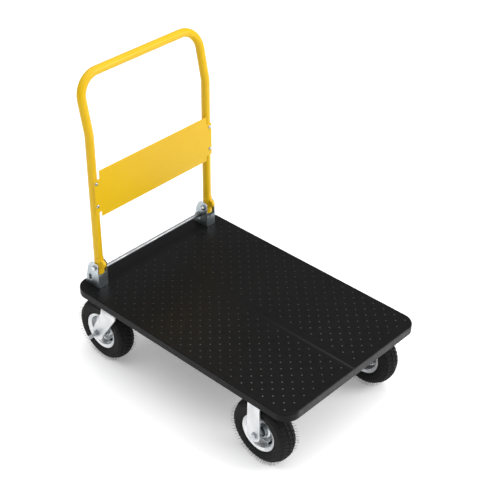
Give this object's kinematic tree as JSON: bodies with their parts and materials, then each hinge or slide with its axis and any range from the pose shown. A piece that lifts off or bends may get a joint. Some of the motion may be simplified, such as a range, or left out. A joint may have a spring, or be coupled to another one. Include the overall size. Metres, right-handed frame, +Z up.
{
  "type": "folding platform cart",
  "caption": "Flat-bed hand cart: black steel deck on pneumatic casters, rigid in front and swivelling behind, with a yellow tubular handle and back panel that fold forward onto the deck.",
  "frame": {"origin": "on the floor, under the middle of the whole cart", "axes": "+Z up, +Y towards the handle at the rear, +X to the right of someone looking from the front end towards the handle"},
  "size_m": [0.64, 0.927, 0.992],
  "materials": {
    "deck_paint": "black semi-gloss powder coat",
    "handle_paint": "yellow gloss powder coat",
    "bracket_zinc": "bright zinc plate",
    "bar_zinc": "bright zinc plate",
    "fastener_zinc": "bright zinc plate",
    "spring_steel": "plain spring steel",
    "rim_steel": "bright zinc plated pressed steel",
    "tyre_rubber": "matte black rubber",
    "tube_rubber": "soft black rubber"
  },
  "bodies": {
    "chassis": {"deck_pan": "deck_paint", "front_crossmember": "deck_paint", "rear_crossmember": "deck_paint", "left_rail": "deck_paint", "right_rail": "deck_paint", "hinge_bracket_left": "bracket_zinc", "pivot_bolt_left": "fastener_zinc", "pivot_nut_left": "fastener_zinc", "release_spring_left": "spring_steel", "hinge_bracket_right": "bracket_zinc", "pivot_bolt_right": "fastener_zinc", "pivot_nut_right": "fastener_zinc", "release_spring_right": "spring_steel", "front_left_fork": "bracket_zinc", "front_left_axle_bolt": "fastener_zinc", "front_left_axle_nut": "fastener_zinc", "front_right_fork": "bracket_zinc", "front_right_axle_bolt": "fastener_zinc", "front_right_axle_nut": "fastener_zinc", "rear_left_top_plate": "bracket_zinc", "rear_left_swivel_race": "bracket_zinc", "rear_left_kingpin": "fastener_zinc", "rear_right_top_plate": "bracket_zinc", "rear_right_swivel_race": "bracket_zinc", "rear_right_kingpin": "fastener_zinc"},
    "handle": {"handle_tube": "handle_paint", "back_panel": "handle_paint", "hinge_shoe_left": "handle_paint", "hinge_shoe_right": "handle_paint", "panel_screw_left_lower": "fastener_zinc", "panel_screw_left_upper": "fastener_zinc", "panel_screw_right_lower": "fastener_zinc", "panel_screw_right_upper": "fastener_zinc"},
    "release_bar": {"release_bar": "bar_zinc"},
    "front_left_wheel": {"front_left_tyre": "tyre_rubber", "front_left_inner_tube": "tube_rubber", "front_left_rim_outer": "rim_steel", "front_left_rim_inner": "rim_steel", "front_left_hub": "bracket_zinc"},
    "front_right_wheel": {"front_right_tyre": "tyre_rubber", "front_right_inner_tube": "tube_rubber", "front_right_rim_outer": "rim_steel", "front_right_rim_inner": "rim_steel", "front_right_hub": "bracket_zinc"},
    "rear_left_swivel": {"rear_left_fork": "bracket_zinc", "rear_left_axle_bolt": "fastener_zinc", "rear_left_axle_nut": "fastener_zinc"},
    "rear_left_wheel": {"rear_left_tyre": "tyre_rubber", "rear_left_inner_tube": "tube_rubber", "rear_left_rim_outer": "rim_steel", "rear_left_rim_inner": "rim_steel", "rear_left_hub": "bracket_zinc"},
    "rear_right_swivel": {"rear_right_fork": "bracket_zinc", "rear_right_axle_bolt": "fastener_zinc", "rear_right_axle_nut": "fastener_zinc"},
    "rear_right_wheel": {"rear_right_tyre": "tyre_rubber", "rear_right_inner_tube": "tube_rubber", "rear_right_rim_outer": "rim_steel", "rear_right_rim_inner": "rim_steel", "rear_right_hub": "bracket_zinc"}
  },
  "joints": [
    {"name": "handle_fold", "type": "hinge", "parent": "chassis", "child": "handle", "pos_m": [0, 0.3755, 0.34], "axis": [1, 0, 0], "range_deg": [0, 90]},
    {"name": "release_press", "type": "slide", "parent": "chassis", "child": "release_bar", "axis": [0, 0, -1], "range_m": [0, 0.012], "stiffness_N_per_m": 800, "springref_m": -0.01, "deforming": ["release_spring_left", "release_spring_right"]},
    {"name": "front_left_spin", "type": "hinge", "parent": "chassis", "child": "front_left_wheel", "pos_m": [-0.24, -0.3275, 0.107], "axis": [1, 0, 0], "continuous": true},
    {"name": "front_right_spin", "type": "hinge", "parent": "chassis", "child": "front_right_wheel", "pos_m": [0.24, -0.3275, 0.107], "axis": [1, 0, 0], "continuous": true},
    {"name": "rear_left_swivel", "type": "hinge", "parent": "chassis", "child": "rear_left_swivel", "pos_m": [-0.24, 0.3005, 0.2278], "axis": [0, 0, 1], "continuous": true},
    {"name": "rear_left_spin", "type": "hinge", "parent": "rear_left_swivel", "child": "rear_left_wheel", "pos_m": [-0.24, 0.3565, 0.107], "axis": [1, 0, 0], "continuous": true},
    {"name": "rear_right_swivel", "type": "hinge", "parent": "chassis", "child": "rear_right_swivel", "pos_m": [0.24, 0.3005, 0.2278], "axis": [0, 0, 1], "continuous": true},
    {"name": "rear_right_spin", "type": "hinge", "parent": "rear_right_swivel", "child": "rear_right_wheel", "pos_m": [0.24, 0.3565, 0.107], "axis": [1, 0, 0], "continuous": true}
  ]
}
